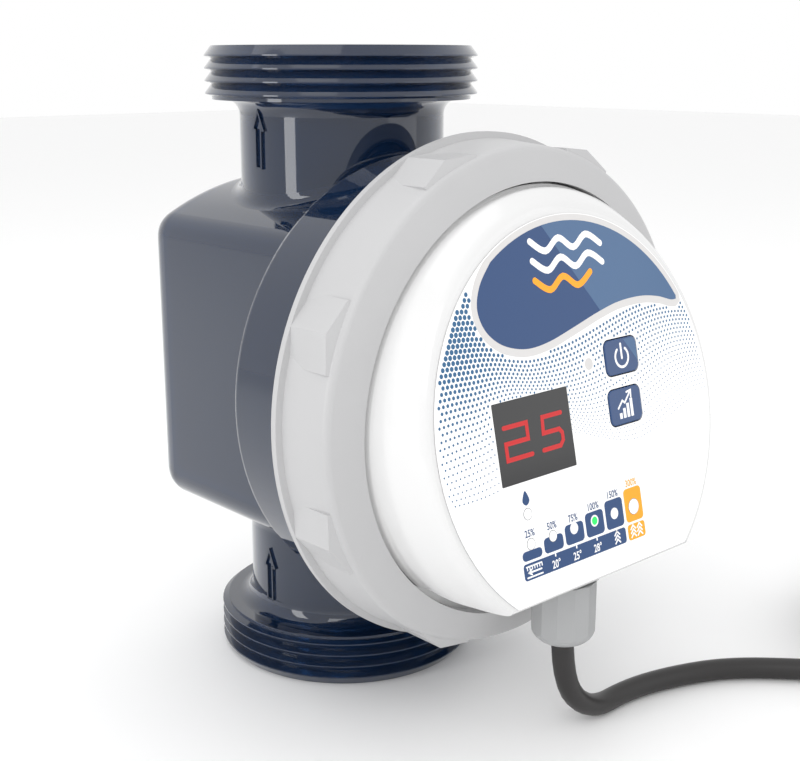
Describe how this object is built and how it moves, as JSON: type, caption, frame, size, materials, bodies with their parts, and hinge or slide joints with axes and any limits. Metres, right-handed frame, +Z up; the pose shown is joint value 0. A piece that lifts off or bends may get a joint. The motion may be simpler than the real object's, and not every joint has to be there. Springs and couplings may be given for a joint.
{
  "type": "salt chlorine generator",
  "caption": "Pool salt chlorine generator: threaded flow cell with arched box chamber, large lock ring, tilted control head with display and keys, cable gland and coiled lead.",
  "frame": {"origin": "centre of the lower port's end face", "axes": "+Z up the flow axis, -Y out of the control head's face, +X to the right as seen from the front"},
  "size_m": [0.2867, 0.2412, 0.209],
  "materials": {
    "cell_plastic": "glossy translucent navy",
    "ring_plastic": "satin light grey",
    "case_plastic": "glossy white",
    "film": "printed gloss film, white with blue graphics",
    "window": "smoked display window",
    "key": "dark blue key cap",
    "circuit_board": "green laminate",
    "component_black": "moulded black",
    "led_body": "clear epoxy",
    "steel": "stainless",
    "transformer_tape": "yellow tape over ferrite",
    "capacitor_sleeve": "shrink sleeve",
    "terminal_green": "moulded green",
    "plate_plastic": "light grey",
    "rubber_black": "o-ring rubber",
    "titanium": "coated titanium",
    "gland_plastic": "light grey nylon",
    "washer_plastic": "slippery white plastic",
    "cord_black": "satin black sheath",
    "tie": "black strap",
    "plug_black": "moulded black",
    "pin_metal": "nickel plated brass"
  },
  "bodies": {
    "cell": {"cell_housing": "cell_plastic"},
    "head": {"controller_case": "case_plastic", "face_film": "film", "display_window": "window", "control_board": "circuit_board", "board_screws": "steel", "display_module": "component_black", "indicator_leds": "led_body", "key_switches": "component_black", "power_board": "circuit_board", "power_standoffs": "steel", "power_screws": "steel", "power_transformer": "transformer_tape", "power_capacitors": "capacitor_sleeve", "terminal_block": "terminal_green", "cell_plate": "plate_plastic", "cell_screws": "steel", "cell_gasket": "rubber_black", "case_gasket": "rubber_black", "anode_plates": "titanium", "cathode_plates": "titanium", "anode_terminal": "titanium", "cathode_terminal": "titanium", "terminal_seals": "rubber_black", "terminal_nuts": "steel", "plate_combs": "plate_plastic", "gland_body": "gland_plastic", "gland_locknut": "gland_plastic", "gland_seal": "rubber_black", "gland_nut": "gland_plastic", "lead_entry": "cord_black", "supply_cord": "cord_black", "cord_coil": "cord_black", "coil_tie": "tie", "cord_tail": "cord_black", "connector_body": "plug_black", "connector_contacts": "pin_metal", "connector_seal": "rubber_black"},
    "ring_carrier": {"slip_washer": "washer_plastic"},
    "ring": {"lock_ring": "ring_plastic"},
    "power_key": {"power_key": "key"},
    "level_key": {"level_key": "key"}
  },
  "joints": [
    {"name": "cell_withdraw", "type": "slide", "parent": "cell", "child": "head", "axis": [0, -1, 0], "range_m": [0, 0.1]},
    {"name": "ring_advance", "type": "slide", "parent": "head", "child": "ring_carrier", "axis": [0, -1, 0], "range_m": [0, 0.005]},
    {"name": "ring_turn", "type": "hinge", "parent": "ring_carrier", "child": "ring", "pos_m": [0, -0.075, 0.1045], "axis": [0, -1, 0], "range_deg": [0, 450]},
    {"name": "power_key_press", "type": "slide", "parent": "head", "child": "power_key", "axis": [0, 0.9767, -0.2147], "range_m": [0, 0.0004], "stiffness_N_per_m": 900},
    {"name": "level_key_press", "type": "slide", "parent": "head", "child": "level_key", "axis": [0, 0.9767, -0.2147], "range_m": [0, 0.0004], "stiffness_N_per_m": 900}
  ],
  "couplings": [
    {"joint": "ring_advance", "follows": "ring_turn", "m_per_rad": 0.00063662}
  ]
}
